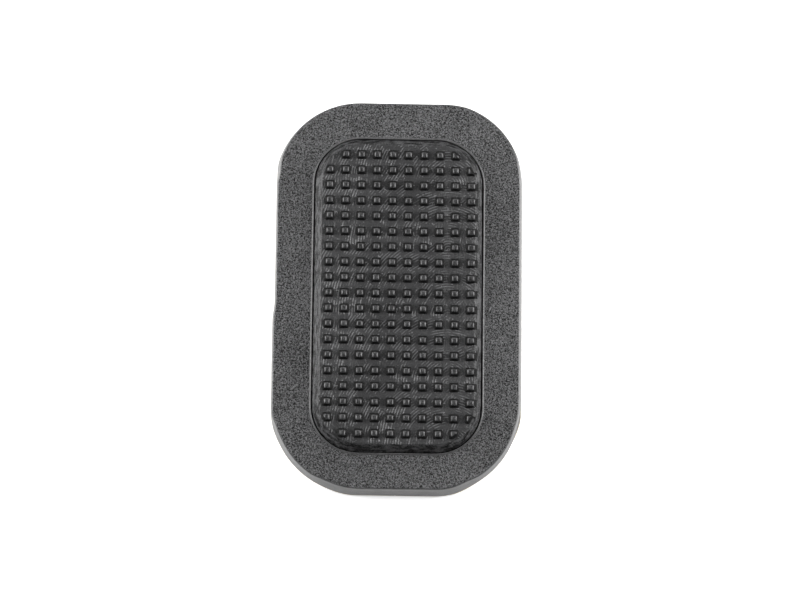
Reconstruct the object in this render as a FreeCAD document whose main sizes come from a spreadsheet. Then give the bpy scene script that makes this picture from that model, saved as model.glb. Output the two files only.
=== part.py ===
"""Snowboard stomp pad: a stick-on traction pad that a rider's free boot stands on.

A soft foam mat frames a moulded rubber tread block.  The block comes up through a window in the mat
from below, and a lip round its foot is caught in a rebate under the mat, so the mat holds it down.
The block is cored out underneath and filled with a foam plug, which gives the mounting tape one
flat face to hold.  Two thin bonding films fix block to mat and plug to block.  The tape carries a
release liner, slit down the middle, whose two halves pull out sideways.

Frame: origin at the centre of the underside, +X across the pad, +Y along it, +Z up.  Millimetres.
"""

import FreeCAD, Part
import math
import os
import Sketcher

# Driving dimensions: alias, value in millimetres, what it is.
DRIVING = [
    ("mat_width", 100.0, "foam mat, overall width at its foot"),
    ("mat_length", 160.0, "foam mat, overall length at its foot"),
    ("mat_corner", 34.6, "foam mat, corner radius at its foot"),
    ("mat_thick", 6.0, "foam mat, thickness"),
    ("edge_lean", 1.1, "foam mat, how far its cut edge leans in from foot to top"),
    ("border_width", 16.0, "foam mat, border from its foot's edge in to the window"),
    ("window_gap", 0.45, "gap all round between the window and the tread block"),
    ("lip_reach", 6.0, "tread block, how far its lip reaches under the mat from the window"),
    ("lip_thick", 1.6, "tread block, thickness of its lip"),
    ("lip_gap", 0.3, "gap all round between the lip and its rebate in the mat"),
    ("deck_rise", 3.2, "tread block, height of its deck above the mat"),
    ("deck_lean", 2.7, "tread block, how far its sloping side leans in up to the deck"),
    ("side_wall", 3.0, "tread block, rubber wall round the hollow"),
    ("roof_thick", 2.5, "tread block, rubber between the deck and the hollow"),
    ("stud_height", 1.2, "stud, height above the deck"),
    ("stud_foot", 3.8, "stud, width where it meets the deck"),
    ("stud_top", 2.4, "stud, width across its flat top"),
    ("stud_pitch", 6.3, "studs, spacing both ways"),
    ("grid_shift", 0.6, "studs, how far the whole grid sits to the right of the middle"),
    ("core_gap", 0.2, "gap all round between the foam plug and the hollow"),
    ("film_thick", 0.1, "bonding films, thickness"),
    ("tape_thick", 1.0, "mounting tape, thickness"),
    ("tape_inset", 0.3, "mounting tape, how far it stops short of the mat's edge"),
    ("liner_thick", 0.2, "release liner, thickness"),
    ("slit_width", 0.3, "release liner, width of the slit between its halves"),
]

# Levels above the underside, each built on the one below it.
TAPE_FOOT = "Sizes.liner_thick"
MAT_FOOT = f"({TAPE_FOOT} + Sizes.tape_thick)"
MAT_TOP = f"({MAT_FOOT} + Sizes.mat_thick)"
LIP_TOP = f"({MAT_FOOT} + Sizes.lip_thick)"
DECK = f"({MAT_TOP} + Sizes.deck_rise)"
STUD_TOP = f"({DECK} + Sizes.stud_height)"

# Heights of the pieces and of the hollows in them.
REBATE_HEIGHT = "(Sizes.lip_thick + Sizes.film_thick)"
HOLLOW_HEIGHT = "(Sizes.mat_thick + Sizes.deck_rise - Sizes.roof_thick)"
CORE_HEIGHT = f"({HOLLOW_HEIGHT} - Sizes.film_thick)"

# How far the leaning sides lean, as angles from upright.
EDGE_ANGLE = "atan(Sizes.edge_lean / Sizes.mat_thick)"
DECK_ANGLE = "atan(Sizes.deck_lean / Sizes.deck_rise)"

QUARTER_TURN = math.pi / 2
START, END, CENTRE = 1, 2, 3  # Sketcher's names for the points of a line or an arc
ORIGIN = (-1, 1)  # Sketcher's name for the sketch's own origin


def grown(outline, margin):
    """A (width, length, corner) outline moved outwards all round by a margin."""
    width, length, corner = outline
    return (
        f"({width} + 2 * ({margin}))",
        f"({length} + 2 * ({margin}))",
        f"({corner} + ({margin}))",
    )


# Outlines, as (width, length, corner radius).
MAT_OUTLINE = ("Sizes.mat_width", "Sizes.mat_length", "Sizes.mat_corner")
WINDOW_OUTLINE = grown(MAT_OUTLINE, "-Sizes.border_width")
BLOCK_OUTLINE = grown(WINDOW_OUTLINE, "-Sizes.window_gap")
LIP_OUTLINE = grown(WINDOW_OUTLINE, "Sizes.lip_reach")
REBATE_OUTLINE = grown(LIP_OUTLINE, "Sizes.lip_gap")
DECK_OUTLINE = grown(BLOCK_OUTLINE, "-Sizes.deck_lean")
HOLLOW_OUTLINE = grown(BLOCK_OUTLINE, "-Sizes.side_wall")
CORE_OUTLINE = grown(HOLLOW_OUTLINE, "-Sizes.core_gap")
TAPE_OUTLINE = grown(MAT_OUTLINE, "-Sizes.tape_inset")

# The stud grid: as many whole studs as the deck has room for, each way.
COLUMNS = f"(floor(({DECK_OUTLINE[0]} - Sizes.stud_foot) / Sizes.stud_pitch) + 1)"
ROWS = f"(floor(({DECK_OUTLINE[1]} - Sizes.stud_foot) / Sizes.stud_pitch) + 1)"
COLUMN_SPAN = f"(({COLUMNS} - 1) * Sizes.stud_pitch)"
ROW_SPAN = f"(({ROWS} - 1) * Sizes.stud_pitch)"
FIRST_COLUMN = f"(Sizes.grid_shift - {COLUMN_SPAN} / 2)"
FIRST_ROW = f"(-{ROW_SPAN} / 2)"


def make_sheet(doc):
    """The spreadsheet that holds every driving dimension under its alias."""
    sheet = doc.addObject("Spreadsheet::Sheet", "Sizes")
    for row, (alias, value, meaning) in enumerate(DRIVING, start=1):
        sheet.set(f"A{row}", meaning)
        sheet.set(f"B{row}", str(value))
        sheet.setAlias(f"B{row}", alias)
    doc.recompute()


def make_body(doc, label):
    body = doc.addObject("PartDesign::Body", label)
    body.Label = label
    return body


def origin_feature(body, role):
    return next(feature for feature in body.Origin.OriginFeatures if feature.Role == role)


def make_sketch(body, name, level=None, plane="XY_Plane"):
    """An empty sketch on one of the body's own origin planes, lifted to a level."""
    sketch = body.newObject("Sketcher::SketchObject", name)
    sketch.AttachmentSupport = [(origin_feature(body, plane), "")]
    sketch.MapMode = "FlatFace"
    if level:
        sketch.setExpression("AttachmentOffset.Base.z", level)
    return sketch


def name_size(sketch, constraint, name, expression):
    """Adds a constraint under a name and binds its value to an expression."""
    index = sketch.addConstraint(constraint)
    sketch.renameConstraint(index, name)
    sketch.setExpression(f"Constraints.{name}", expression)


def draw_outline(sketch, outline, prefix=""):
    """A rounded rectangle centred on the origin: four lines joined by four tangent arcs."""
    width, length, corner = (float(sketch.evalExpression(size)) for size in outline)
    wide, long = width / 2, length / 2
    x, y = wide - corner, long - corner
    point = FreeCAD.Vector
    foot, right, head, left = sketch.addGeometry(
        [
            Part.LineSegment(point(-x, -long), point(x, -long)),
            Part.LineSegment(point(wide, -y), point(wide, y)),
            Part.LineSegment(point(x, long), point(-x, long)),
            Part.LineSegment(point(-wide, y), point(-wide, -y)),
        ],
        False,
    )
    lines = (foot, right, head, left)
    arcs = []
    for centre_x, centre_y, quarter in ((x, -y, 3), (x, y, 0), (-x, y, 1), (-x, -y, 2)):
        circle = Part.Circle(point(centre_x, centre_y), point(0, 0, 1), corner)
        turn = quarter * QUARTER_TURN
        arcs.append(sketch.addGeometry(Part.ArcOfCircle(circle, turn, turn + QUARTER_TURN), False))
    for i, arc in enumerate(arcs):
        following = lines[(i + 1) % 4]
        sketch.addConstraint(Sketcher.Constraint("Tangent", lines[i], END, arc, START))
        sketch.addConstraint(Sketcher.Constraint("Tangent", arc, END, following, START))
    sketch.addConstraint(Sketcher.Constraint("Horizontal", foot))
    sketch.addConstraint(Sketcher.Constraint("Vertical", right))
    sketch.addConstraint(Sketcher.Constraint("Equal", arcs[0], arcs[1]))
    sketch.addConstraint(Sketcher.Constraint("Equal", arcs[0], arcs[2]))
    sketch.addConstraint(Sketcher.Constraint("Equal", arcs[0], arcs[3]))
    middle = Sketcher.Constraint("Symmetric", arcs[0], CENTRE, arcs[2], CENTRE, *ORIGIN)
    sketch.addConstraint(middle)
    across = Sketcher.Constraint("DistanceX", left, START, right, START, width)
    along = Sketcher.Constraint("DistanceY", foot, START, head, START, length)
    round_corner = Sketcher.Constraint("Radius", arcs[0], corner)
    name_size(sketch, across, f"{prefix}width", outline[0])
    name_size(sketch, along, f"{prefix}length", outline[1])
    name_size(sketch, round_corner, f"{prefix}corner", outline[2])


def draw_trapezium(sketch, foot_x, top_x, foot_y, top_y, prefix=""):
    """Four lines: a level foot and a level top, each given by its (left, right) ends."""
    value = {size: float(sketch.evalExpression(size)) for size in (*foot_x, *top_x, foot_y, top_y)}
    corners = [
        (foot_x[0], foot_y, "foot_left"),
        (foot_x[1], foot_y, "foot_right"),
        (top_x[1], top_y, "top_right"),
        (top_x[0], top_y, "top_left"),
    ]
    spots = [FreeCAD.Vector(value[x], value[y]) for x, y, name in corners]
    lines = sketch.addGeometry(
        [Part.LineSegment(spots[i], spots[(i + 1) % 4]) for i in range(4)], False
    )
    for i in range(4):
        following = lines[(i + 1) % 4]
        sketch.addConstraint(Sketcher.Constraint("Coincident", lines[i], END, following, START))
    for line, (x, y, name) in zip(lines, corners):
        sideways = Sketcher.Constraint("DistanceX", *ORIGIN, line, START, value[x])
        upwards = Sketcher.Constraint("DistanceY", *ORIGIN, line, START, value[y])
        name_size(sketch, sideways, f"{prefix}{name}_x", x)
        name_size(sketch, upwards, f"{prefix}{name}_y", y)


def add_pad(body, name, sketch, height, lean_angle=None):
    """A pad upwards from its sketch, its sides leaning inwards by an angle."""
    pad = body.newObject("PartDesign::Pad", name)
    pad.Profile = sketch
    pad.setExpression("Length", height)
    if lean_angle:
        pad.setExpression("TaperAngle", f"-{lean_angle}")
    return pad


def add_pocket(body, name, sketch, depth):
    """A pocket upwards from its sketch."""
    pocket = body.newObject("PartDesign::Pocket", name)
    pocket.Profile = sketch
    pocket.Reversed = True
    pocket.setExpression("Length", depth)
    return pocket


def add_long_cut(body, name, sketch):
    """A cut both ways from its sketch, right through the body."""
    pocket = body.newObject("PartDesign::Pocket", name)
    pocket.Profile = sketch
    pocket.SideType = "Symmetric"
    pocket.Type = "ThroughAll"
    return pocket


def repeat(body, name, feature, axis, pitch, count):
    """The feature repeated in a straight line along one of the body's own axes."""
    pattern = body.newObject("PartDesign::LinearPattern", name)
    pattern.Originals = [feature]
    pattern.Direction = (origin_feature(body, axis), [""])
    pattern.Mode = "Spacing"
    pattern.setExpression("Offset", pitch)
    pattern.setExpression("Occurrences", count)
    body.Tip = pattern
    return pattern


def make_plate(doc, label, outline, level, height):
    """A body that is one flat plate of an outline."""
    body = make_body(doc, label)
    sketch = make_sketch(body, f"{label}_outline", level)
    draw_outline(sketch, outline)
    body.Tip = add_pad(body, f"{label}_plate", sketch, height)
    return body


def make_foam_mat(doc):
    """The mat: a plate with a leaning edge, a window through it and a rebate under the window."""
    body = make_body(doc, "foam_mat")
    outline = make_sketch(body, "mat_outline", MAT_FOOT)
    draw_outline(outline, MAT_OUTLINE)
    add_pad(body, "mat_plate", outline, "Sizes.mat_thick", EDGE_ANGLE)
    window = make_sketch(body, "mat_window_outline", MAT_FOOT)
    draw_outline(window, WINDOW_OUTLINE)
    add_pocket(body, "mat_window", window, "Sizes.mat_thick")
    rebate = make_sketch(body, "mat_rebate_outline", MAT_FOOT)
    draw_outline(rebate, REBATE_OUTLINE)
    body.Tip = add_pocket(body, "mat_rebate", rebate, REBATE_HEIGHT)
    return body


def cut_between_studs(body, way, plane, axis, first, span, count, reach):
    """Cuts the grooves between the studs, and the clear margins outside them, one way."""
    half_foot = "Sizes.stud_foot / 2"
    half_top = "Sizes.stud_top / 2"
    last = f"({first} + {span})"
    second = f"({first} + Sizes.stud_pitch)"
    groove_outline = make_sketch(body, f"{way}_groove_outline", plane=plane)
    draw_trapezium(
        groove_outline,
        (f"({first} + {half_foot})", f"({second} - {half_foot})"),
        (f"({first} + {half_top})", f"({second} - {half_top})"),
        DECK,
        STUD_TOP,
    )
    groove = add_long_cut(body, f"{way}_groove", groove_outline)
    repeat(body, f"{way}_grooves", groove, axis, "Sizes.stud_pitch", f"{count} - 1")
    margins = make_sketch(body, f"{way}_margin_outline", plane=plane)
    draw_trapezium(
        margins,
        (f"(-{reach})", f"({first} - {half_foot})"),
        (f"(-{reach})", f"({first} - {half_top})"),
        DECK,
        STUD_TOP,
        "low_",
    )
    draw_trapezium(
        margins,
        (f"({last} + {half_foot})", reach),
        (f"({last} + {half_top})", reach),
        DECK,
        STUD_TOP,
        "high_",
    )
    add_long_cut(body, f"{way}_margins", margins)


def clear_corner_studs(body):
    """Takes the stud off each of the four corners of the grid."""
    half_pitch = "Sizes.stud_pitch / 2"
    across = (f"({FIRST_COLUMN} - {half_pitch})", f"({FIRST_COLUMN} + {half_pitch})")
    outline = make_sketch(body, "corner_cell_outline", DECK)
    low, high = f"({FIRST_ROW} - {half_pitch})", f"({FIRST_ROW} + {half_pitch})"
    draw_trapezium(outline, across, across, low, high)
    cell = add_pocket(body, "corner_cell", outline, "Sizes.stud_height")
    corners = body.newObject("PartDesign::MultiTransform", "corner_cells")
    corners.Originals = [cell]
    steps = []
    for axis, span in (("X_Axis", COLUMN_SPAN), ("Y_Axis", ROW_SPAN)):
        step = body.newObject("PartDesign::LinearPattern", f"corner_step_{axis[0].lower()}")
        step.Direction = (origin_feature(body, axis), [""])
        step.Mode = "Extent"
        step.setExpression("Length", span)
        step.Occurrences = 2
        steps.append(step)
    corners.Transformations = steps
    body.Tip = corners
    return corners


def make_tread_block(doc):
    """The tread block: lip, straight foot, sloping sides, studded deck, hollow underneath."""
    body = make_body(doc, "tread_block")
    lip = make_sketch(body, "block_lip_outline", MAT_FOOT)
    draw_outline(lip, LIP_OUTLINE)
    add_pad(body, "block_lip", lip, "Sizes.lip_thick")
    foot = make_sketch(body, "block_foot_outline", MAT_FOOT)
    draw_outline(foot, BLOCK_OUTLINE)
    add_pad(body, "block_foot", foot, "Sizes.mat_thick")
    side = make_sketch(body, "block_side_outline", MAT_TOP)
    draw_outline(side, BLOCK_OUTLINE)
    side_height = "Sizes.deck_rise + Sizes.stud_height"
    add_pad(body, "block_side", side, side_height, DECK_ANGLE)
    columns = ("XZ_Plane", "X_Axis", FIRST_COLUMN, COLUMN_SPAN, COLUMNS, "Sizes.mat_width")
    rows = ("YZ_Plane", "Y_Axis", FIRST_ROW, ROW_SPAN, ROWS, "Sizes.mat_length")
    cut_between_studs(body, "column", *columns)
    cut_between_studs(body, "row", *rows)
    clear_corner_studs(body)
    hollow = make_sketch(body, "block_hollow_outline", MAT_FOOT)
    draw_outline(hollow, HOLLOW_OUTLINE)
    body.Tip = add_pocket(body, "block_hollow", hollow, HOLLOW_HEIGHT)
    return body


def make_lip_film(doc):
    """The film on the lip: a flat ring from the window's edge out to the lip's edge."""
    body = make_body(doc, "lip_bond_film")
    outline = make_sketch(body, "lip_film_outline", LIP_TOP)
    draw_outline(outline, LIP_OUTLINE, "outer_")
    draw_outline(outline, WINDOW_OUTLINE, "inner_")
    body.Tip = add_pad(body, "lip_film_ring", outline, "Sizes.film_thick")
    return body


def make_liner_half(doc, label, side):
    """One half of the release liner: a full sheet with everything past the slit cut away.

    The side is -1 for the half on the left and +1 for the half on the right.
    """
    body = make_body(doc, label)
    outline = make_sketch(body, f"{label}_outline")
    draw_outline(outline, MAT_OUTLINE)
    add_pad(body, f"{label}_sheet", outline, "Sizes.liner_thick")
    slit_edge = f"({side} * Sizes.slit_width / 2)"
    far_edge = f"({-side} * Sizes.mat_width)"
    past_slit = (slit_edge, far_edge) if side < 0 else (far_edge, slit_edge)
    other_half = make_sketch(body, f"{label}_other_half_outline")
    draw_trapezium(other_half, past_slit, past_slit, "(-Sizes.mat_length)", "Sizes.mat_length")
    body.Tip = add_pocket(body, f"{label}_other_half", other_half, "Sizes.liner_thick")
    return body


def check(doc, bodies):
    """Stops the build if any feature failed or any piece isn't one sound solid."""
    for item in doc.Objects:
        if "Invalid" in item.State or "Error" in item.State:
            raise RuntimeError(f"{item.Label} did not rebuild: {item.State}")
    for body in bodies:
        shape = body.Shape
        if shape.isNull() or not shape.isValid() or len(shape.Solids) != 1:
            raise RuntimeError(f"{body.Label} is not one sound solid")


def main():
    doc = FreeCAD.newDocument("stomp_pad")
    make_sheet(doc)
    core_level = f"({MAT_FOOT} + {CORE_HEIGHT})"
    bodies = [
        make_foam_mat(doc),
        make_tread_block(doc),
        make_plate(doc, "tread_core", CORE_OUTLINE, MAT_FOOT, CORE_HEIGHT),
        make_lip_film(doc),
        make_plate(doc, "core_bond_film", CORE_OUTLINE, core_level, "Sizes.film_thick"),
        make_plate(doc, "mounting_tape", TAPE_OUTLINE, TAPE_FOOT, "Sizes.tape_thick"),
        make_liner_half(doc, "liner_left", -1),
        make_liner_half(doc, "liner_right", 1),
    ]
    doc.recompute()
    check(doc, bodies)
    os.makedirs("parts", exist_ok=True)
    for body in bodies:
        body.Shape.exportStep(f"parts/{body.Label}.step")


main()
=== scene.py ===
"""Looks of a snowboard stomp pad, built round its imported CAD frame.

Every soft and moulded piece is modelled here with edit-mode tools, in metres, in the frame's axes:
+X across the pad, +Y along it and +Z up.  Each piece stands for the CAD node of the same place.
"""

import math

import bmesh
import bpy
from bpy.props import FloatProperty, FloatVectorProperty, IntProperty, PointerProperty
from mathutils import Matrix, Vector


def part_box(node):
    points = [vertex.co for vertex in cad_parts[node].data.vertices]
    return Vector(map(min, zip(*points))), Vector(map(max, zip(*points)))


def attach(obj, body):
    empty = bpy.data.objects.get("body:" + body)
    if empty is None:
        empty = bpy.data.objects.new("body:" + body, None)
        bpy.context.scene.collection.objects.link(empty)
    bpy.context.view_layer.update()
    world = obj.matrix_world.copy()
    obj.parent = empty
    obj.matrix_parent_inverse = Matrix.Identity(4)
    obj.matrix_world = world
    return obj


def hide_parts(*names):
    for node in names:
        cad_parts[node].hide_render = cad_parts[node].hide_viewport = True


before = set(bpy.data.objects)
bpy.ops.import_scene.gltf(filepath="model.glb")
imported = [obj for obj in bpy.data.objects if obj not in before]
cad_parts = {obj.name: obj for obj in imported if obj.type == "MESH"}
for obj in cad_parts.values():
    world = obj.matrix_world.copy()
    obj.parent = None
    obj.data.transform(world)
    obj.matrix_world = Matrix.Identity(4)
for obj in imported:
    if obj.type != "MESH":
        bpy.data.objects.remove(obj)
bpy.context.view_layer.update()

bl_info = {
    "name": "Stomp pad",
    "version": (1, 0, 0),
    "blender": (4, 5, 0),
    "location": "View3D > Sidebar > Stomp pad",
    "description": "Models the foam, rubber, tape and liner pieces of a snowboard stomp pad",
    "category": "Object",
}

MM = 0.001

# Headings of a walk over a piece, in degrees: level inwards, straight up, straight down, and the
# slant of a worn face between them.
LEVEL, UP, DOWN = 0, 90, -90
SHALLOW = 31

# How the edge was cut by hand, in millimetres: the middle of each stretch, its half size, whether
# only the upper half of the edge moves, which way it is pushed, and how far the push fades out.
# A trim takes hold of the points within the edge band.
HAND_TRIMS = (
    ((-49, -2), (4, 48), True, (-0.7, 0.0), 4),
    ((-49, 23), (4, 26), False, (0.8, 0.0), 9),
    ((36, 67), (9, 9), False, (0.7, 0.7), 14),
    ((39, -64), (8, 11), False, (-0.85, 0.75), 14),
    ((0, -79), (34, 4), True, (0.0, 0.6), 4),
    ((-37, -69), (9, 8), False, (0.4, 0.4), 14),
)
EDGE_BAND = 2.6 * MM


# ---------------------------------------------------------------------------------------------
# Places, read from the frame
# ---------------------------------------------------------------------------------------------


def low(node, axis):
    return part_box(node)[0][axis]


def high(node, axis):
    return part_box(node)[1][axis]


def thick(node):
    return high(node, 2) - low(node, 2)


def outline_of(node, corner):
    """The (width, length, corner radius) of a node's rounded rectangle."""
    return (high(node, 0) - low(node, 0), high(node, 1) - low(node, 1), corner)


def grown(outline, margin):
    """An outline moved outwards all round by a margin."""
    width, length, corner = outline
    return (width + 2 * margin, length + 2 * margin, corner + margin)


# ---------------------------------------------------------------------------------------------
# Sizes and colours that a user would change
# ---------------------------------------------------------------------------------------------


def length_property(name, description, millimetres):
    return FloatProperty(
        name=name, description=description, default=millimetres * MM, unit="LENGTH", precision=5
    )


def colour_property(name, description, colour):
    return FloatVectorProperty(
        name=name, description=description, default=colour, subtype="COLOR", min=0.0, max=1.0
    )


class FoamMatSettings(bpy.types.PropertyGroup):
    corner: length_property("Corner", "Corner radius at the mat's foot", 34.6)
    border: length_property("Border", "Width from the mat's foot edge in to its window", 16.0)
    edge_lean: length_property("Edge lean", "How far the cut edge leans in up to the top", 1.1)
    edge_turn: length_property("Edge turn", "Tight rounding at the top of the cut edges", 0.14)
    edge_wear: length_property("Edge wear", "Width of the worn face along the edges", 0.42)
    rebate_reach: length_property("Rebate reach", "How far the rebate goes in under the mat", 6.3)
    rebate_rise: length_property("Rebate rise", "Height of the rebate under the mat", 1.7)
    unevenness: length_property("Unevenness", "How much the soft top rises and falls", 0.28)
    pebble: length_property("Pebble", "Size of the pebbled grain", 0.55)
    skin_colour: colour_property("Skin", "Pebbled skin of the foam", (0.043, 0.043, 0.044))
    # Cut edge colour: the foam's own paler cut edge, made paler still as painted light in place of
    # light from the front.
    cut_colour_and_painted_light: colour_property("Cut edge", "Cut edge of the foam", (0.18, 0.18, 0.18))


class TreadBlockSettings(bpy.types.PropertyGroup):
    lip_rise: length_property("Lip", "Thickness of the lip caught under the mat", 1.6)
    window_gap: length_property("Gap", "Gap between the block and the mat's window", 0.45)
    lip_reach: length_property("Lip reach", "How far the lip goes under the mat", 6.0)
    deck_rise: length_property("Deck rise", "Height of the deck above the mat", 3.2)
    deck_lean: length_property("Deck lean", "How far the sides lean in up to the deck", 2.7)
    deck_rim: length_property("Deck rim", "Rounding where the sides meet the deck", 0.8)
    side_wall: length_property("Side wall", "Rubber wall round the hollow", 3.0)
    roof: length_property("Roof", "Rubber between the deck and the hollow", 2.5)
    stud_foot: length_property("Stud foot", "Width of a stud at the deck", 3.8)
    stud_top: length_property("Stud top", "Width across the top of a stud", 1.75)
    stud_pitch: length_property("Stud pitch", "Spacing of the studs both ways", 6.3)
    stud_root: length_property("Stud root", "How deep a stud's sides run on into the block", 1.2)
    stud_corner: length_property("Stud corner", "Rounding of a stud's upright corners", 0.85)
    stud_turn: length_property("Stud turn", "Tight rounding at the top of a stud's sides", 0.1)
    stud_wear: length_property("Stud wear", "Width of the worn face round a stud's top", 0.42)
    edge_stretch: length_property("Edge stretch", "How much wider the right-hand studs are", 0.35)
    # Edge spread and edge depth also set how far the studs' painted shadow reaches down the block's
    # slope.
    edge_spread: length_property("Edge spread", "How much further out their outer roots are", 0.33)
    edge_depth: length_property("Edge depth", "How much deeper their outer roots run", 1.0)
    grid_shift: length_property("Grid shift", "How far the studs sit right of the middle", 0.6)
    trim_margin: length_property("Trim margin", "How loosely the corners trim the studs", 0.3)
    trim_reach: length_property("Trim reach", "How far studs may pass the deck's sides", 3.0)
    columns: IntProperty(name="Columns", description="Studs in a full row", default=10)
    rows: IntProperty(name="Rows", description="Rows of studs", default=19)
    colour: colour_property("Rubber", "Moulded rubber", (0.02, 0.02, 0.0205))


class BackingSettings(bpy.types.PropertyGroup):
    core_corner: length_property("Core corner", "Corner radius of the foam plug", 14.95)
    tape_inset: length_property("Tape inset", "How far the tape stops short of the mat", 0.3)
    slit: length_property("Slit", "Width of the slit between the liner's halves", 0.3)
    core_colour: colour_property("Core", "Foam plug inside the block", (0.16, 0.16, 0.165))
    film_colour: colour_property("Bond", "Dried bonding film", (0.55, 0.47, 0.3))
    tape_colour: colour_property("Tape", "Edge of the foam tape", (0.23, 0.23, 0.235))
    liner_colour: colour_property("Liner", "Coated paper of the liner", (0.74, 0.69, 0.56))


class StageSettings(bpy.types.PropertyGroup):
    camera_distance: length_property("Distance", "Camera to the pad's middle", 1400.0)
    camera_elevation: FloatProperty(
        name="Elevation",
        description="Camera's height above the horizon",
        default=math.radians(78.5),
        subtype="ANGLE",
    )
    camera_azimuth: FloatProperty(
        name="Azimuth",
        description="Camera's turn round the pad",
        default=math.radians(-8.0),
        subtype="ANGLE",
    )
    camera_roll: FloatProperty(
        name="Roll",
        description="Camera's turn about its own line of sight",
        default=math.radians(8.8),
        subtype="ANGLE",
    )
    floor_colour: colour_property("Floor", "Plain pale floor", (0.9, 0.9, 0.9))


# ---------------------------------------------------------------------------------------------
# Modelling
# ---------------------------------------------------------------------------------------------


def place_in_scene(obj):
    bpy.context.scene.collection.objects.link(obj)


def select_only(*objects):
    """Selects these objects and no others, with the first one active."""
    bpy.ops.object.select_all(action="DESELECT")
    for obj in objects:
        obj.select_set(True)
    bpy.context.view_layer.objects.active = objects[0]


def edit(obj, mode):
    """Goes into edit mode on one object alone, with nothing selected."""
    select_only(obj)
    bpy.ops.object.mode_set(mode="EDIT")
    bpy.ops.mesh.select_mode(type=mode)
    bpy.ops.mesh.select_all(action="DESELECT")


def select_where(parts, test):
    """Selects the vertices, edges or faces that pass a test, and nothing else."""
    mesh = bmesh.from_edit_mesh(bpy.context.object.data)
    bpy.ops.mesh.select_all(action="DESELECT")
    for part in getattr(mesh, parts):
        if test(part):
            part.select_set(True)
    bmesh.update_edit_mesh(bpy.context.object.data)


def done():
    bpy.ops.object.mode_set(mode="OBJECT")


def apply(obj, kind, name, **settings):
    """Adds a modifier with its settings and applies it."""
    modifier = obj.modifiers.new(name, kind)
    for key, value in settings.items():
        setattr(modifier, key, value)
    select_only(obj)
    bpy.ops.object.modifier_apply(modifier=name)


def add_outline(name, outline, level, corner_steps, side_step):
    """A flat rounded rectangle, left in edit mode with its one face selected."""
    width, length, corner = outline
    bpy.ops.object.select_all(action="DESELECT")
    bpy.ops.mesh.primitive_plane_add(size=1.0, location=(0, 0, 0))
    obj = bpy.context.object
    obj.name = name
    bpy.ops.object.mode_set(mode="EDIT")
    bpy.ops.mesh.select_mode(type="VERT")
    bpy.ops.mesh.select_all(action="SELECT")
    bpy.ops.transform.resize(value=(width, length, 1), center_override=(0, 0, 0))
    bpy.ops.transform.translate(value=(0, 0, level))
    bpy.ops.mesh.bevel(offset=corner, segments=corner_steps, affect="VERTICES")
    bpy.ops.mesh.select_mode(type="EDGE")
    nearly_all = 0.9
    for axis, straight in ((0, width - 2 * corner), (1, length - 2 * corner)):
        cuts = round(straight / side_step) - 1
        for side in (-1, 1):
            if cuts > 0:
                select_where("edges", lambda edge: spans(edge, axis, nearly_all * straight, side))
                bpy.ops.mesh.subdivide(number_cuts=cuts)
    bpy.ops.mesh.select_mode(type="FACE")
    bpy.ops.mesh.select_all(action="SELECT")
    return obj


def spans(edge, axis, least, side):
    """Whether an edge runs that far along an axis, on the given side of the middle."""
    first, second = (vertex.co for vertex in edge.verts)
    return abs(first[axis] - second[axis]) > least and side * first[1 - axis] > 0


def walk_in(steps):
    """Insets the selected face again and again; each step is (how far in, how far up)."""
    for inwards, upwards in steps:
        bpy.ops.mesh.inset(thickness=inwards, depth=upwards)


def draw_up(half_width, steps):
    """Extrudes the selected face up and scales it in, so that its corners scale with it."""
    for inwards, upwards in steps:
        bpy.ops.mesh.extrude_region_move(TRANSFORM_OT_translate={"value": (0, 0, upwards)})
        share = (half_width - inwards) / half_width
        bpy.ops.transform.resize(value=(share, share, 1), center_override=(0, 0, 0))
        half_width -= inwards


def rounding(radius, start, end, count):
    """Steps round an arc whose heading turns from start to end."""
    turn = math.radians(end - start) / count
    chord = 2 * radius * math.sin(abs(turn) / 2)
    headings = [math.radians(start) + turn * (i + 0.5) for i in range(count)]
    return [(chord * math.cos(heading), chord * math.sin(heading)) for heading in headings]


def worn_edge(turn, width, heading):
    """From a wall's heading to level: a tight turn, a shallow worn face and a soft turn."""
    slant = math.radians(SHALLOW)
    face = even(width * math.cos(slant), width * math.sin(slant), 1)
    return rounding(turn, heading, SHALLOW, 2) + face + rounding(2 * turn, SHALLOW, LEVEL, 2)


def raised_edge(turn, width):
    """From level to straight down over a low ridge: foam pushed up along a tight-fitting insert."""
    slant = math.radians(SHALLOW)
    face = even(width * math.cos(slant), width * math.sin(slant), 1)
    return rounding(2 * turn, LEVEL, SHALLOW, 1) + face + rounding(turn, SHALLOW, DOWN, 4)


def reach(steps):
    """How far (in, up) a list of steps goes altogether."""
    return sum(step[0] for step in steps), sum(step[1] for step in steps)


def even(inwards, upwards, count):
    """A straight run in equal steps."""
    return [(inwards / count, upwards / count)] * count


def close_over(name, outline, level, upper, lower, corner_steps, side_step, ring=False):
    """A closed piece from two walks in from one outline, over the top and underneath.

    A ring has no middle: its two walks end on the same inner outline and are joined there.
    """
    halves = []
    for steps in (upper, lower):
        half = add_outline(name, outline, level, corner_steps, side_step)
        walk_in(steps)
        if ring:
            bpy.ops.mesh.delete(type="FACE")
        done()
        halves.append(half)
    select_only(*halves)
    bpy.ops.object.join()
    weld(halves[0])
    halves[0].name = name
    return halves[0]


def weld(obj):
    """Merges doubled points, then turns every face outwards."""
    edit(obj, "VERT")
    bpy.ops.mesh.select_all(action="SELECT")
    bpy.ops.mesh.remove_doubles(threshold=0.002 * MM)
    bpy.ops.mesh.select_all(action="SELECT")
    bpy.ops.mesh.normals_make_consistent(inside=False)
    done()


def edge_distance(point, outline):
    """How far inside a rounded rectangle a point is."""
    width, length, corner = outline
    past_x = abs(point.x) - (width / 2 - corner)
    past_y = abs(point.y) - (length / 2 - corner)
    outside = math.hypot(max(past_x, 0), max(past_y, 0))
    return corner - outside - min(max(past_x, past_y), 0)


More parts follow.
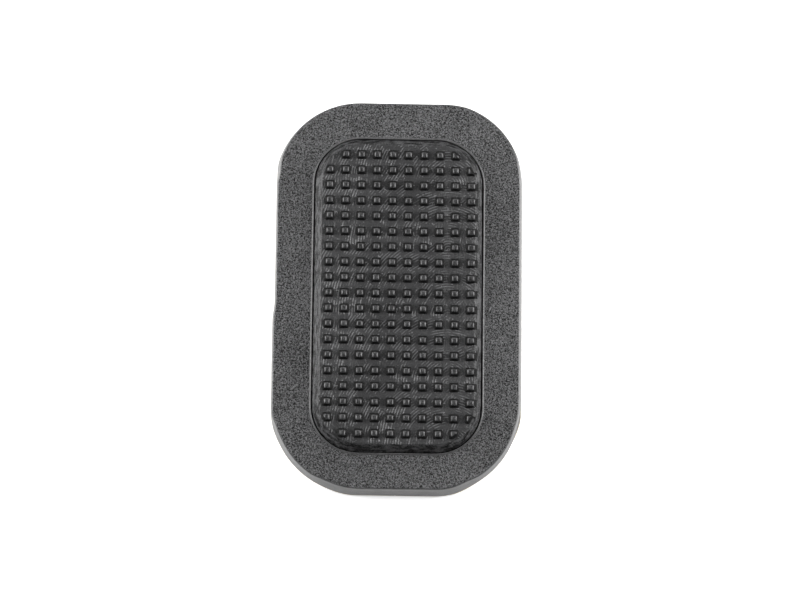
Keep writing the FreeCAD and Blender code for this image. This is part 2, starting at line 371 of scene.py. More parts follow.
def trim_by_hand(obj, outline):
    """Cuts the outline unevenly, as hand-cut foam is: each trim pushes one stretch of the edge."""
    middle = (low("foam_mat", 2) + high("foam_mat", 2)) / 2
    edit(obj, "VERT")
    for place, half_size, top_only, push, reach_out in HAND_TRIMS:
        select_where(
            "verts",
            lambda point: abs(point.co.x - place[0] * MM) < half_size[0] * MM
            and abs(point.co.y - place[1] * MM) < half_size[1] * MM
            and edge_distance(point.co, outline) < EDGE_BAND
            and not (top_only and point.co.z < middle),
        )
        bpy.ops.transform.translate(
            value=(push[0] * MM, push[1] * MM, 0),
            use_proportional_edit=True,
            proportional_edit_falloff="SMOOTH",
            proportional_size=reach_out * MM,
        )
    done()


def shade(obj, degrees):
    """Shades a piece smooth, except over edges sharper than an angle."""
    select_only(obj)
    bpy.ops.object.shade_smooth_by_angle(angle=math.radians(degrees))


def check_closed(obj):
    """Stops the script if a piece has a hole in its surface or a stray face."""
    mesh = bmesh.new()
    mesh.from_mesh(obj.data)
    open_edges = sum(not edge.is_manifold for edge in mesh.edges)
    mesh.free()
    if open_edges:
        raise RuntimeError(f"{obj.name} has {open_edges} open edges")


def finish_piece(obj, body, node, slot, *materials):
    """Puts a closed piece on its body, in place of its node, with its materials."""
    check_closed(obj)
    for material in materials:
        obj.data.materials.append(material)
    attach(obj, body)
    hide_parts(node)


# ---------------------------------------------------------------------------------------------
# Materials
# ---------------------------------------------------------------------------------------------


class Shader:
    """A material's node tree, with short ways to add and join its nodes."""

    def __init__(self, name, roughness, specular=0.5):
        self.material = bpy.data.materials.new(name)
        self.material.use_nodes = True
        self.tree = self.material.node_tree
        self.surface = self.tree.nodes["Principled BSDF"]
        self.surface.inputs["Roughness"].default_value = roughness
        self.surface.inputs["Specular IOR Level"].default_value = specular
        self.place = self.node("ShaderNodeTexCoord").outputs["Object"]

    def node(self, kind, **settings):
        node = self.tree.nodes.new(kind)
        for key, value in settings.items():
            setattr(node, key, value)
        return node

    def join(self, output, socket):
        self.tree.links.new(output, socket)

    def stretched(self, x, y, z):
        """Object coordinates scaled along each axis: under 1 draws a pattern out along it."""
        mapping = self.node("ShaderNodeMapping")
        self.join(self.place, mapping.inputs["Vector"])
        mapping.inputs["Scale"].default_value = (x, y, z)
        return mapping.outputs["Vector"]

    def noise(self, size, detail=3.0, roughness=0.5, place=None, distortion=0.0):
        """Noise whose features are about one size across."""
        node = self.node("ShaderNodeTexNoise")
        self.join(place or self.place, node.inputs["Vector"])
        node.inputs["Scale"].default_value = 1.0 / size
        node.inputs["Detail"].default_value = detail
        node.inputs["Roughness"].default_value = roughness
        node.inputs["Distortion"].default_value = distortion
        return node.outputs["Fac"]

    def rings(self, size, place, distortion):
        """Concentric rings about the Z axis, one size apart."""
        node = self.node("ShaderNodeTexWave", wave_type="RINGS", rings_direction="Z")
        self.join(place, node.inputs["Vector"])
        waves_per_unit = 20.0 / math.tau
        node.inputs["Scale"].default_value = 1.0 / (waves_per_unit * size)
        node.inputs["Distortion"].default_value = distortion
        node.inputs["Detail"].default_value = 2.0
        return node.outputs["Fac"]

    def remap(self, value, low_in, high_in, low_out=0.0, high_out=1.0):
        """A value's range moved onto another, and held within it."""
        node = self.node("ShaderNodeMapRange")
        self.join(value, node.inputs["Value"])
        node.inputs["From Min"].default_value = low_in
        node.inputs["From Max"].default_value = high_in
        node.inputs["To Min"].default_value = low_out
        node.inputs["To Max"].default_value = high_out
        return node.outputs["Result"]

    def math(self, operation, first, second):
        node = self.node("ShaderNodeMath", operation=operation)
        for socket, value in zip(node.inputs, (first, second)):
            if isinstance(value, (int, float)):
                socket.default_value = value
            else:
                self.join(value, socket)
        return node.outputs["Value"]

    def weighted(self, *terms):
        """The sum of (value, weight) terms."""
        total = 0.0
        for value, weight in terms:
            total = self.math("ADD", self.math("MULTIPLY", value, weight), total)
        return total

    def blend(self, factor, first, second):
        """A value that goes from first to second with a factor from 0 to 1."""
        node = self.node("ShaderNodeMix", data_type="FLOAT")
        for name, value in zip(("Factor", "A", "B"), (factor, first, second)):
            self.join(value, node.inputs[name])
        return node.outputs["Result"]

    def vector(self, *parts):
        node = self.node("ShaderNodeCombineXYZ")
        for socket, part in zip(node.inputs, parts):
            self.join(part, socket)
        return node.outputs["Vector"]

    def tint(self, factor, dark, light):
        """A colour that goes from dark to light with a factor from 0 to 1."""
        node = self.node("ShaderNodeMix", data_type="RGBA")
        self.join(factor, node.inputs["Factor"])
        node.inputs["A"].default_value = (*dark, 1)
        node.inputs["B"].default_value = (*light, 1)
        return node.outputs["Result"]

    def along(self, axis):
        """Where a point is along an axis, in metres."""
        node = self.node("ShaderNodeSeparateXYZ")
        self.join(self.place, node.inputs["Vector"])
        return node.outputs[axis]

    def facing_up(self):
        """1 on level faces and 0 on upright ones."""
        geometry = self.node("ShaderNodeNewGeometry")
        node = self.node("ShaderNodeSeparateXYZ")
        self.join(geometry.outputs["Normal"], node.inputs["Vector"])
        return node.outputs["Z"]

    def bump(self, height, depth, strength=1.0):
        node = self.node("ShaderNodeBump")
        self.join(height, node.inputs["Height"])
        node.inputs["Distance"].default_value = depth
        node.inputs["Strength"].default_value = strength
        return node.outputs["Normal"]

    def finish(self, colour, roughness, normal):
        self.join(colour, self.surface.inputs["Base Color"])
        self.join(roughness, self.surface.inputs["Roughness"])
        self.join(normal, self.surface.inputs["Normal"])
        return self.material


def scaled(colour, share):
    return tuple(channel * share for channel in colour)


def pebbled_foam(settings):
    """Closed-cell foam with a pebbled skin: small raised grains of uneven tone, partly painted light,
    with the raised grains painted lighter.
    """
    shader = Shader("pebbled_foam_skin", roughness=0.5, specular=0.3)
    grain = shader.noise(settings.pebble, detail=1.0, roughness=0.5, distortion=1.0)
    patches = shader.noise(14 * MM, detail=2.0)
    # Tone from the grain: partly the foam's own uneven tone, partly painted light and shade on the
    # grain, lighter where the bump raises it.
    tone = shader.weighted((patches, 0.1), (grain, 1.0))
    factor = shader.remap(tone, 0.45, 0.68)
    colour = shader.tint(factor, scaled(settings.skin_colour, 0.0), scaled(settings.skin_colour, 3.7))
    roughness = shader.remap(grain, 0.3, 0.7, 0.68, 0.34)
    normal = shader.bump(grain, depth=0.6 * MM, strength=1.0)
    return shader.finish(colour, roughness, normal)


def pressed_rim(settings):
    """The worn rims of the foam, rubbed smoother and shinier than its skin."""
    shader = Shader("pressed_foam_rim", roughness=0.45, specular=0.6)
    grain = shader.noise(settings.pebble, detail=2.0, roughness=0.6)
    factor = shader.remap(grain, 0.3, 0.7)
    colour = shader.tint(
        factor, scaled(settings.skin_colour, 0.6), scaled(settings.skin_colour, 2.4)
    )
    normal = shader.bump(grain, depth=0.12 * MM, strength=0.8)
    return shader.finish(colour, shader.remap(grain, 0.3, 0.7, 0.52, 0.36), normal)


def cut_foam(name, colour, cell):
    """The cut edge of foam: finer, smoother and paler than the skin; on the mat the colour given
    carries painted light as well.
    """
    shader = Shader(name, roughness=0.5, specular=0.6)
    cells = shader.noise(cell, detail=3.0, roughness=0.6)
    drag = shader.noise(5 * MM, detail=2.0, place=shader.stretched(1, 1, 6))
    factor = shader.remap(shader.math("ADD", cells, drag), 0.6, 1.4)
    tint = shader.tint(factor, scaled(colour, 0.75), scaled(colour, 1.2))
    roughness = shader.remap(cells, 0.2, 0.8, 0.62, 0.42)
    normal = shader.bump(cells, depth=0.08 * MM, strength=0.5)
    return shader.finish(tint, roughness, normal)


def moulded_rubber(settings, lip):
    """Moulded rubber: tool marks swept across the deck, streaks round the sloping sides, and painted
    light between the rows of studs.
    """
    shader = Shader("moulded_rubber", roughness=0.4, specular=0.35)
    flat = shader.remap(shader.facing_up(), 0.7, 0.9)
    fine = shader.noise(0.55 * MM, detail=3.0, roughness=0.65)
    cloud = shader.noise(17 * MM, detail=3.0, roughness=0.6)
    specks = shader.remap(shader.noise(1.1 * MM, detail=1.0), 0.7, 0.76)
    # Painted light and shade: the deck is painted lighter midway between the rows of studs, where the
    # side lamps graze along the rows, and darker along the rows, where the studs shade it.
    half_pitch = settings.stud_pitch / 2
    from_row = shader.math("PINGPONG", shader.along("Y"), half_pitch)
    painted_light_between_rows = shader.remap(from_row, 0.35 * half_pitch, 0.8 * half_pitch)
    marks = tool_marks(shader)
    streaks = contour_streaks(shader, lip)
    floor_tone = shader.weighted((cloud, 0.7), (fine, 1.3), (streaks, 0.1))
    floor_share = shader.weighted(
        (shader.remap(floor_tone, 0.7, 1.35, 0.0, 1.8), 1.0),
        (painted_light_between_rows, 0.8),
        (marks, 4.5),
        (specks, 5.0),
    )
    side_share = shader.remap(shader.weighted((streaks, 1.0), (fine, 0.6)), 0.7, 0.92, 0.0, 4.2)
    factor = shader.remap(shader.blend(flat, side_share, floor_share), 0.0, 9.0)
    colour = shader.tint(factor, (0, 0, 0), scaled(settings.colour, 9.0))
    gloss = shader.remap(shader.weighted((fine, 1.0), (marks, 0.4)), 0.3, 0.9, 0.52, 0.26)
    relief = shader.weighted((marks, 0.8), (fine, 1.0), (streaks, 2.0))
    normal = shader.bump(relief, depth=0.15 * MM, strength=1.0)
    return shader.finish(colour, gloss, normal)


def stud_wall_rubber(settings):
    """The studs' sides: matt rubber painted nearly black as painted shade, and as a painted shadow on
    the right-hand studs' outer roots.
    """
    shader = Shader("stud_wall_rubber", roughness=0.7, specular=0.2)
    drawn = shader.noise(0.6 * MM, detail=2.0, place=shader.stretched(1, 1, 0.3))
    factor = shader.remap(drawn, 0.3, 0.7)
    colour = shader.tint(factor, scaled(settings.colour, 0.05), scaled(settings.colour, 0.35))
    normal = shader.bump(drawn, depth=0.04 * MM, strength=0.5)
    return shader.finish(colour, shader.remap(drawn, 0.3, 0.7, 0.8, 0.6), normal)


def stud_top_rubber(settings):
    """The studs' tops, rubbed shiny by boots, with short drawn scratches."""
    shader = Shader("stud_top_rubber", roughness=0.4, specular=0.42)
    scratches = shader.noise(0.5 * MM, detail=2.0, place=shader.stretched(1, 0.3, 1))
    fine = shader.noise(0.4 * MM, detail=2.0)
    tone = shader.weighted((scratches, 1.0), (fine, 0.5))
    factor = shader.remap(tone, 0.6, 0.95)
    colour = shader.tint(factor, scaled(settings.colour, 0.5), scaled(settings.colour, 4.0))
    normal = shader.bump(tone, depth=0.06 * MM, strength=0.8)
    return shader.finish(colour, shader.remap(tone, 0.5, 1.0, 0.5, 0.32), normal)


def tool_marks(shader):
    """Fine arcs left by the mould's cutter, in sweeps that come again down the deck.

    Each sweep has the place across of its arcs' middles, its pitch and start along the deck, and
    the two values of the patch noise at which it is bare and fully marked.
    """
    x, y = shader.along("X"), shader.along("Y")
    breaks = shader.remap(shader.noise(2.2 * MM, detail=2.0), 0.42, 0.55)
    sweeps = []
    patch = shader.noise(9 * MM, detail=2.0)
    cut_spacing = 1.05 * MM
    for middle, pitch, start, bare, marked in (
        (20 * MM, 27 * MM, 9 * MM, 0.47, 0.56),
        (44 * MM, 41 * MM, 21 * MM, 0.46, 0.38),
    ):
        along = shader.math("FLOORED_MODULO", shader.math("ADD", y, start), pitch)
        across = shader.math("SUBTRACT", x, middle)
        rings = shader.rings(cut_spacing, shader.vector(across, along), distortion=0.3)
        lines = shader.math("MULTIPLY", shader.remap(rings, 0.5, 0.95), breaks)
        sweeps.append(shader.math("MULTIPLY", lines, shader.remap(patch, bare, marked)))
    return shader.math("MAXIMUM", *sweeps)


def contour_streaks(shader, outline):
    """Fine lines that follow the block's outline round its sides and corners."""
    width, length, corner = outline
    straight = (width / 2 - corner, length / 2 - corner, 0)
    node = shader.node("ShaderNodeVectorMath", operation="ABSOLUTE")
    shader.join(shader.place, node.inputs[0])
    flat = (1, 1, 0)
    for operation, operand in (("SUBTRACT", straight), ("MAXIMUM", (0, 0, 0)), ("MULTIPLY", flat)):
        step = shader.node("ShaderNodeVectorMath", operation=operation)
        shader.join(node.outputs["Vector"], step.inputs[0])
        step.inputs[1].default_value = operand
        node = step
    distance = shader.node("ShaderNodeVectorMath", operation="LENGTH")
    shader.join(node.outputs["Vector"], distance.inputs[0])
    drawn_out = 0.2
    place = shader.vector(
        distance.outputs["Value"],
        shader.math("MULTIPLY", shader.along("X"), drawn_out),
        shader.math("MULTIPLY", shader.along("Y"), drawn_out),
    )
    return shader.noise(0.75 * MM, detail=2.0, roughness=0.6, place=place)


def dried_bond(settings):
    """Bonding film: uneven, slightly glossy."""
    shader = Shader("dried_bond", roughness=0.35)
    runs = shader.noise(3 * MM, detail=4.0)
    colour = shader.tint(
        shader.remap(runs, 0.3, 0.7), scaled(settings.film_colour, 0.8), settings.film_colour
    )
    normal = shader.bump(runs, depth=0.05 * MM)
    return shader.finish(colour, shader.remap(runs, 0.3, 0.7, 0.28, 0.5), normal)


def coated_paper(settings):
    """Release liner: coated kraft paper with a fine fibre and a faint gloss."""
    shader = Shader("coated_paper", roughness=0.4)
    fibre = shader.noise(1.4 * MM, detail=5.0, roughness=0.7, place=shader.stretched(1, 0.3, 1))
    blotch = shader.noise(22 * MM, detail=2.0)
    tone = shader.remap(shader.math("ADD", fibre, blotch), 0.7, 1.3)
    colour = shader.tint(tone, scaled(settings.liner_colour, 0.86), settings.liner_colour)
    normal = shader.bump(fibre, depth=0.02 * MM, strength=0.4)
    return shader.finish(colour, shader.remap(fibre, 0.3, 0.7, 0.34, 0.5), normal)


# ---------------------------------------------------------------------------------------------
# Pieces
# ---------------------------------------------------------------------------------------------


class STOMPPAD_OT_foam_mat(bpy.types.Operator):
    """Models the pebbled foam mat with its window and the rebate under it"""

    bl_idname = "stomp_pad.foam_mat"
    bl_label = "Foam mat"

    def execute(self, context):
        mat = context.scene.stomp_foam_mat
        height = thick("foam_mat")
        lean = math.degrees(math.atan2(height, mat.edge_lean))
        window_turn = 1.3 * mat.edge_turn
        outer_rim = worn_edge(mat.edge_turn, mat.edge_wear, lean)
        window_rim = raised_edge(window_turn, mat.edge_wear)
        rim_in, rim_up = reach(outer_rim)
        window_in, window_rise = reach(window_rim)
        side = even(mat.edge_lean * (height - rim_up) / height, height - rim_up, 4)
        flat = mat.border - reach(side)[0] - rim_in - window_in
        inner_wall = even(0, -(height - mat.rebate_rise + window_rise), 3)
        upper = side + outer_rim + even(flat, 0, 9) + window_rim + inner_wall
        lower = even(mat.border - mat.rebate_reach, 0, 4)
        lower += even(0, mat.rebate_rise, 1) + even(mat.rebate_reach, 0, 3)
        outline = outline_of("foam_mat", mat.corner)
        foot = low("foam_mat", 2)
        obj = close_over(
            "foam_mat_soft", outline, foot, upper, lower,
            corner_steps=24, side_step=2.4 * MM, ring=True,
        )
        self.soften(obj, mat, foot + 0.8 * height)
        trim_by_hand(obj, outline)
        self.paint(obj, mat)
        shade(obj, 50)
        return {"FINISHED"}

    def soften(self, obj, mat, held_below):
        """Lets the top of the foam rise and fall a little, with its foot held flat."""
        edit(obj, "VERT")
        select_where("verts", lambda point: point.co.z > held_below)
        top = obj.vertex_groups.new(name="soft_top")
        bpy.ops.object.vertex_group_assign()
        done()
        swell = bpy.data.textures.new("foam_swell", "CLOUDS")
        swell.noise_scale = 22 * MM
        apply(
            obj,
            "DISPLACE",
            "swell",
            texture=swell,
            texture_coords="LOCAL",
            direction="Z",
            mid_level=0.75,
            strength=mat.unevenness,
            vertex_group=top.name,
        )
        bpy.data.textures.remove(swell)
        obj.vertex_groups.clear()

    def paint(self, obj, mat):
        """Pebbled skin on top, pressed foam on the rims, cut foam on the sides and underneath; the
        cut foam is paler than the skin, and paler still as painted light in place of light from the
        front.
        """
        finish_piece(
            obj, "pad", "foam_mat", "mat_foam",
            pebbled_foam(mat),
            pressed_rim(mat),
            cut_foam("cut_foam_edge", mat.cut_colour_and_painted_light, 0.35 * MM),
        )
        edit(obj, "FACE")
        rims_below, sides_below = 0.99, 0.75
        for index, limit in ((1, rims_below), (2, sides_below)):
            select_where("faces", lambda face: face.normal.z < limit)
            obj.active_material_index = index
            bpy.ops.object.material_slot_assign()
        done()


class STOMPPAD_OT_tread_block(bpy.types.Operator):
    """Models the moulded block: lip, sloping sides, hollow underneath and the grid of studs"""

    bl_idname = "stomp_pad.tread_block"
    bl_label = "Tread block"

    def execute(self, context):
        tread = context.scene.stomp_tread_block
        mat = context.scene.stomp_foam_mat
        foot, mat_top = low("tread_block", 2), high("foam_mat", 2)
        deck, stud_top = mat_top + tread.deck_rise, high("tread_block", 2)
        lip = outline_of("tread_block", mat.corner - mat.border + tread.lip_reach)
        block = self.block(tread, lip, foot, mat_top, deck)
        studs = self.studs(tread, deck, stud_top)
        to_block = -(tread.lip_reach + tread.window_gap)
        side_lean = tread.deck_lean / tread.deck_rise
        trimmer = self.trimmer(tread, grown(lip, to_block - tread.deck_lean), deck, side_lean)
        apply(studs, "BOOLEAN", "trim", operation="INTERSECT", solver="EXACT", object=trimmer)
        bpy.data.objects.remove(trimmer)
        apply(block, "BOOLEAN", "studs", operation="UNION", solver="EXACT", object=studs)
        bpy.data.objects.remove(studs)
        weld(block)
        block.name = "tread_block_moulded"
        finish_piece(
            block, "pad", "tread_block", "tread_rubber",
            moulded_rubber(tread, lip),
            # Painted shade on the studs' sides, and the studs' painted shadow on the right-hand outer
            # roots.
            stud_wall_rubber(tread),
            stud_top_rubber(tread),
        )
        self.paint_studs(block, deck)
        shade(block, 38)
        return {"FINISHED"}

    def paint_studs(self, block, deck):
        """Painted shade on the studs' sides, and rubbed tops, told apart by height and by slant."""
        edit(block, "FACE")
        outer_roots, stud_feet = deck - 1.2 * MM, deck + 0.05 * MM
        steeper_than_block, steeper_than_tops = 0.62, 0.81
        # The first pass lays the studs' painted shadow on the right-hand studs' outer roots, down the
        # block's slope; the second lays painted shade on every stud's sides; the third marks the
        # rubbed tops.
        for index, level, least, most in (
            (1, outer_roots, -1, steeper_than_block),
            (1, stud_feet, steeper_than_block, steeper_than_tops),
            (2, stud_feet, steeper_than_tops, 1.01),
        ):
            select_where(
                "faces",
                lambda face: face.calc_center_median().z > level and least <= face.normal.z < most,
            )
            block.active_material_index = index
            bpy.ops.object.material_slot_assign()
        done()

    def block(self, tread, lip, foot, mat_top, deck):
        """The block with a bare deck, walked in from the lip's outline over and under."""
        slope = math.degrees(math.atan2(tread.deck_rise, tread.deck_lean))
        lip_rim = rounding(0.3 * MM, UP, LEVEL, 2)
        rim_in, rim_up = reach(lip_rim)
        to_wall = tread.lip_reach + tread.window_gap
        bend = rounding(0.6 * MM, UP, slope, 3)
        bend_up = reach(bend)[1]
        deck_rim = rounding(tread.deck_rim, slope, LEVEL, 5)
        slope_up = tread.deck_rise - reach(deck_rim)[1] - 0.5 * bend_up
        slope_in = slope_up * tread.deck_lean / tread.deck_rise
        wall = mat_top - foot - tread.lip_rise - 0.5 * bend_up
        deck_border = 0.35 * MM
        upper = even(0, tread.lip_rise - rim_up, 1) + lip_rim + even(to_wall - rim_in, 0, 2)
        upper += even(0, wall, 3) + bend + even(slope_in, slope_up, 3) + deck_rim
        upper += even(deck_border, 0, 1)
        roof = deck - tread.roof - foot
        lower = even(to_wall + tread.side_wall, 0, 2) + even(0, roof, 3)
        return close_over("block", lip, foot, upper, lower, corner_steps=16, side_step=4 * MM)

    def stud(self, tread, deck, stud_top):
        """One stud at the middle: a square outline drawn up and in, with a worn top."""
        slope = (tread.stud_foot - tread.stud_top) / 2 / (stud_top - deck)
        heading = math.degrees(math.atan2(1, slope))
        root = tread.stud_foot + 2 * slope * tread.stud_root
        rim = worn_edge(tread.stud_turn, tread.stud_wear, heading)
        rise = stud_top - deck + tread.stud_root - reach(rim)[1]
        outline = (root, root, tread.stud_corner)
        stud = add_outline("stud", outline, deck - tread.stud_root, corner_steps=2, side_step=root)
        bpy.ops.mesh.duplicate()
        draw_up(root / 2, even(slope * rise, rise, 1) + rim)
        done()
        weld(stud)
        return stud

    def studs(self, tread, deck, stud_top):
        """The grid of studs: one is modelled, and every other is a copy of it moved to its place."""
        stud = self.stud(tread, deck, stud_top)
        first_x = tread.grid_shift - (tread.columns - 1) / 2 * tread.stud_pitch
        first_y = -(tread.rows - 1) / 2 * tread.stud_pitch
        copies = []
        for row in range(tread.rows):
            for column in range(tread.columns):
                if row in (0, tread.rows - 1) and column in (0, tread.columns - 1):
                    continue
                copy = stud.copy()
                copy.data = stud.data.copy()
                copy.location.x = first_x + column * tread.stud_pitch
                copy.location.y = first_y + row * tread.stud_pitch
                place_in_scene(copy)
                copies.append(copy)
        bpy.data.objects.remove(stud)
        select_only(*copies)
        bpy.ops.object.join()
        bpy.ops.object.transform_apply(location=True, rotation=False, scale=False)
        last_x = first_x + (tread.columns - 1) * tread.stud_pitch
        self.widen_last_column(copies[0], tread, last_x, deck)
        return copies[0]

    def widen_last_column(self, studs, tread, last_x, deck):
        """Moves the outer sides of the right-hand studs out, except next to the deck's corners; their
        outer roots run on down the block's slope and carry a painted shadow.
        """
        before_corners = (tread.rows - 4) / 2 * tread.stud_pitch
        edit(studs, "VERT")
        for top, move in (
            (math.inf, (tread.edge_stretch, 0, 0)),
            (deck, (tread.edge_spread, 0, -tread.edge_depth)),
        ):
            select_where(
                "verts",
                lambda point: point.co.x > last_x
                and abs(point.co.y) < before_corners
                and point.co.z < top,
            )
            bpy.ops.transform.translate(value=move)
        done()

    def trimmer(self, tread, deck_outline, deck, side_lean):
        """A tapered slab that carries the block's sloping corners on up through the studs.

        It stands outside the deck by the trim reach. Its corners are rounder than the deck's, so
        that the middle of each comes in, both across and along, by the reach less the margin.
        """
        depth, rise = 3 * MM, 2 * MM
        width, length, corner = grown(deck_outline, tread.trim_reach + side_lean * depth)
        corner += (tread.trim_reach - tread.trim_margin) / (1 - math.sqrt(0.5))
        upper = even(side_lean * (depth + rise), depth + rise, 1)
        outline = (width, length, corner)
        return close_over(
            "trimmer", outline, deck - depth, upper, [], corner_steps=16, side_step=length
        )


class STOMPPAD_OT_tread_core(bpy.types.Operator):
    """Models the foam plug that fills the hollow under the block"""

    bl_idname = "stomp_pad.tread_core"
    bl_label = "Tread core"

    def execute(self, context):
        backing = context.scene.stomp_backing
        outline = outline_of("tread_core", backing.core_corner)
        rim = rounding(0.4 * MM, UP, LEVEL, 2)
        flat = even(4 * MM, 0, 2)
        upper = even(0, thick("tread_core") - reach(rim)[1], 4) + rim + flat
        obj = close_over(
            "tread_core_plug", outline, low("tread_core", 2), upper, flat,
            corner_steps=12, side_step=5 * MM,
        )
        finish_piece(
            obj, "pad", "tread_core", "core_foam",
            cut_foam("core_foam", backing.core_colour, 0.5 * MM),
        )
        shade(obj, 40)
        return {"FINISHED"}


class STOMPPAD_OT_bond_films(bpy.types.Operator):
    """Models the two bonding films, on the block's lip and on the foam plug"""

    bl_idname = "stomp_pad.bond_films"
    bl_label = "Bond films"

    def execute(self, context):
        backing = context.scene.stomp_backing
        mat = context.scene.stomp_foam_mat
        tread = context.scene.stomp_tread_block
        film = dried_bond(backing)
        corner = mat.corner - mat.border + tread.lip_reach
        side = even(0, thick("lip_bond_film"), 1)
        across = even(tread.lip_reach, 0, 2)
        ring = close_over(
            "lip_bond_film_ring", outline_of("lip_bond_film", corner), low("lip_bond_film", 2),
            side + across, across + side, corner_steps=16, side_step=4 * MM, ring=True,
        )
        finish_piece(ring, "pad", "lip_bond_film", "bond_film", film)
        shade(ring, 30)
        side = even(0, thick("core_bond_film"), 1)
        flat = even(3 * MM, 0, 1)
        outline = outline_of("core_bond_film", backing.core_corner)
        plate = close_over(
            "core_bond_film_sheet", outline, low("core_bond_film", 2),
            side + flat, flat, corner_steps=12, side_step=5 * MM,
        )
        finish_piece(plate, "pad", "core_bond_film", "bond_film", film)
        shade(plate, 30)
        return {"FINISHED"}


class STOMPPAD_OT_mounting_tape(bpy.types.Operator):
    """Models the foam mounting tape, cut along with the mat's edge"""

    bl_idname = "stomp_pad.mounting_tape"
    bl_label = "Mounting tape"

    def execute(self, context):
        backing = context.scene.stomp_backing
        mat = context.scene.stomp_foam_mat
        outline = outline_of("mounting_tape", mat.corner - backing.tape_inset)
        side = even(0, thick("mounting_tape"), 3)
        flat = even(5 * MM, 0, 1)
        obj = close_over(
            "mounting_tape_foam", outline, low("mounting_tape", 2),
            side + flat, flat, corner_steps=24, side_step=4 * MM,
        )
        trim_by_hand(obj, outline)
        finish_piece(
            obj, "pad", "mounting_tape", "tape_foam",
            cut_foam("tape_foam", backing.tape_colour, 0.3 * MM),
        )
        shade(obj, 40)
        return {"FINISHED"}


class STOMPPAD_OT_release_liner(bpy.types.Operator):
    """Models the release liner and parts it along the slit into its two halves"""

    bl_idname = "stomp_pad.release_liner"
    bl_label = "Release liner"

    def execute(self, context):
        backing = context.scene.stomp_backing
        mat = context.scene.stomp_foam_mat
        paper = coated_paper(backing)
        outline = outline_of("foam_mat", mat.corner)
        flat = even(4 * MM, 0, 1)
        for node, side in (("liner_left", -1), ("liner_right", 1)):
            obj = close_over(
                f"{node}_paper", outline, low(node, 2),
                even(0, thick(node), 1) + flat, flat, corner_steps=24, side_step=4 * MM,
            )
            trim_by_hand(obj, outline)
            edit(obj, "FACE")
            bpy.ops.mesh.select_all(action="SELECT")
            bpy.ops.mesh.bisect(
                plane_co=(side * backing.slit / 2, 0, 0),
                plane_no=(-side, 0, 0),
                use_fill=True,
                clear_outer=True,
            )
            done()
            weld(obj)
            finish_piece(obj, node, node, "liner_paper", paper)
            shade(obj, 30)
        return {"FINISHED"}


# ---------------------------------------------------------------------------------------------
# Stage
# ---------------------------------------------------------------------------------------------

WHITE = (1, 1, 1, 1)


def add_softbox(name, place, size, power):
    """A rectangular lamp that faces the pad."""
    light = bpy.data.lights.new(name, "AREA")
    light.shape = "RECTANGLE"
    light.size, light.size_y = size
    light.energy = power
    obj = bpy.data.objects.new(name, light)
    place_in_scene(obj)
    obj.location = place
    aim(obj, (0, 0, 0))


def aim(obj, target, roll=0.0):
    """Points a lamp or a camera at a target, then turns it about its own line of sight."""
    sight = Vector(target) - Vector(obj.location)
    turn = sight.to_track_quat("-Z", "Y").to_matrix() @ Matrix.Rotation(roll, 3, "Z")
    obj.rotation_euler = turn.to_euler()


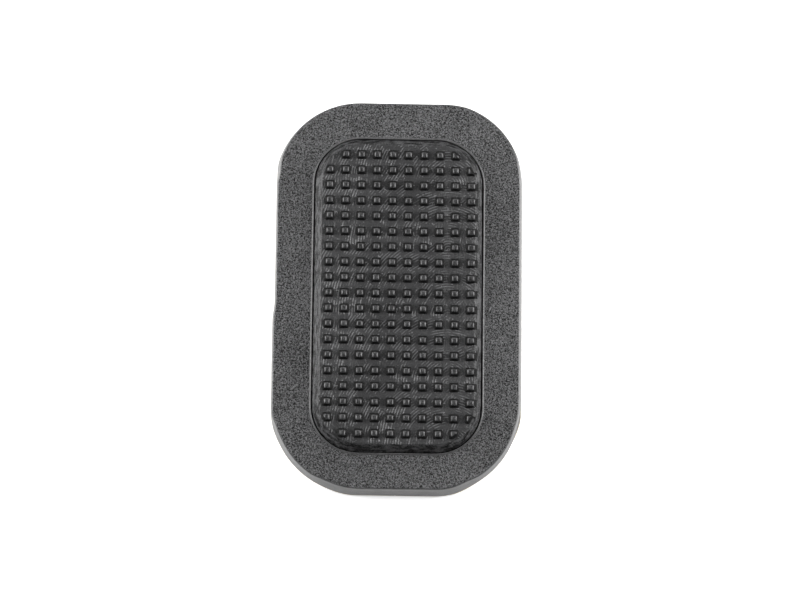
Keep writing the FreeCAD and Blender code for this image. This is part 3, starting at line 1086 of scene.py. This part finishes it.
class STOMPPAD_OT_stage(bpy.types.Operator):
    """Sets out the floor, the softboxes and the camera"""

    bl_idname = "stomp_pad.stage"
    bl_label = "Stage"

    def execute(self, context):
        stage = context.scene.stomp_stage
        self.floor(stage)
        self.lights(context)
        self.camera(context, stage)
        context.scene.view_settings.view_transform = "Standard"
        context.scene.view_settings.look = "None"
        return {"FINISHED"}

    def floor(self, stage):
        bpy.ops.object.select_all(action="DESELECT")
        bpy.ops.mesh.primitive_plane_add(size=6.0, location=(0, 0, 0))
        floor = bpy.context.object
        floor.name = "studio_floor"
        shader = Shader("studio_floor", roughness=0.8, specular=0.2)
        shader.surface.inputs["Base Color"].default_value = (*stage.floor_colour, 1)
        shader.surface.inputs["Emission Color"].default_value = WHITE
        shader.surface.inputs["Emission Strength"].default_value = 0.5
        floor.data.materials.append(shader.material)

    def lights(self, context):
        for name, side in (("softbox_left", -1), ("softbox_right", 1)):
            add_softbox(name, place=(side * 0.95, 0.25, 0.46), size=(0.45, 0.9), power=17)
        add_softbox("softbox_back", place=(0, 1.3, 0.8), size=(1.0, 0.7), power=4)
        world = bpy.data.worlds.new("studio_air")
        world.use_nodes = True
        background = world.node_tree.nodes["Background"]
        background.inputs["Color"].default_value = WHITE
        background.inputs["Strength"].default_value = 0.1
        context.scene.world = world

    def camera(self, context, stage):
        lens_data = bpy.data.cameras.new("studio_camera")
        camera = bpy.data.objects.new("studio_camera", lens_data)
        place_in_scene(camera)
        centre = (0.95 * MM, -1.8 * MM, 6 * MM)
        level = math.cos(stage.camera_elevation)
        camera.location = (
            centre[0] + stage.camera_distance * level * math.sin(stage.camera_azimuth),
            centre[1] - stage.camera_distance * level * math.cos(stage.camera_azimuth),
            centre[2] + stage.camera_distance * math.sin(stage.camera_elevation),
        )
        aim(camera, centre, stage.camera_roll)
        seen_width, sensor_width = 320 * MM, 36.0
        lens_data.sensor_width = sensor_width
        lens_data.lens = sensor_width * stage.camera_distance / seen_width
        context.scene.camera = camera


# ---------------------------------------------------------------------------------------------
# Add-on
# ---------------------------------------------------------------------------------------------

PIECES = (
    STOMPPAD_OT_foam_mat,
    STOMPPAD_OT_tread_block,
    STOMPPAD_OT_tread_core,
    STOMPPAD_OT_bond_films,
    STOMPPAD_OT_mounting_tape,
    STOMPPAD_OT_release_liner,
    STOMPPAD_OT_stage,
)
SETTINGS = {
    "stomp_foam_mat": FoamMatSettings,
    "stomp_tread_block": TreadBlockSettings,
    "stomp_backing": BackingSettings,
    "stomp_stage": StageSettings,
}


class STOMPPAD_PT_panel(bpy.types.Panel):
    """Lists the settings and the pieces"""

    bl_label = "Stomp pad"
    bl_idname = "STOMPPAD_PT_panel"
    bl_space_type = "VIEW_3D"
    bl_region_type = "UI"
    bl_category = "Stomp pad"

    def draw(self, context):
        for name, group in SETTINGS.items():
            box = self.layout.box()
            settings = getattr(context.scene, name)
            for field in group.__annotations__:
                box.prop(settings, field)
        for piece in PIECES:
            self.layout.operator(piece.bl_idname)


def register():
    for kind in (*SETTINGS.values(), *PIECES, STOMPPAD_PT_panel):
        bpy.utils.register_class(kind)
    for name, group in SETTINGS.items():
        setattr(bpy.types.Scene, name, PointerProperty(type=group))


def unregister():
    for name in SETTINGS:
        delattr(bpy.types.Scene, name)
    for kind in reversed((*SETTINGS.values(), *PIECES, STOMPPAD_PT_panel)):
        bpy.utils.unregister_class(kind)


def main():
    register()
    bpy.ops.stomp_pad.foam_mat()
    bpy.ops.stomp_pad.tread_block()
    bpy.ops.stomp_pad.tread_core()
    bpy.ops.stomp_pad.bond_films()
    bpy.ops.stomp_pad.mounting_tape()
    bpy.ops.stomp_pad.release_liner()
    bpy.ops.stomp_pad.stage()


if __name__ == "__main__":
    main()
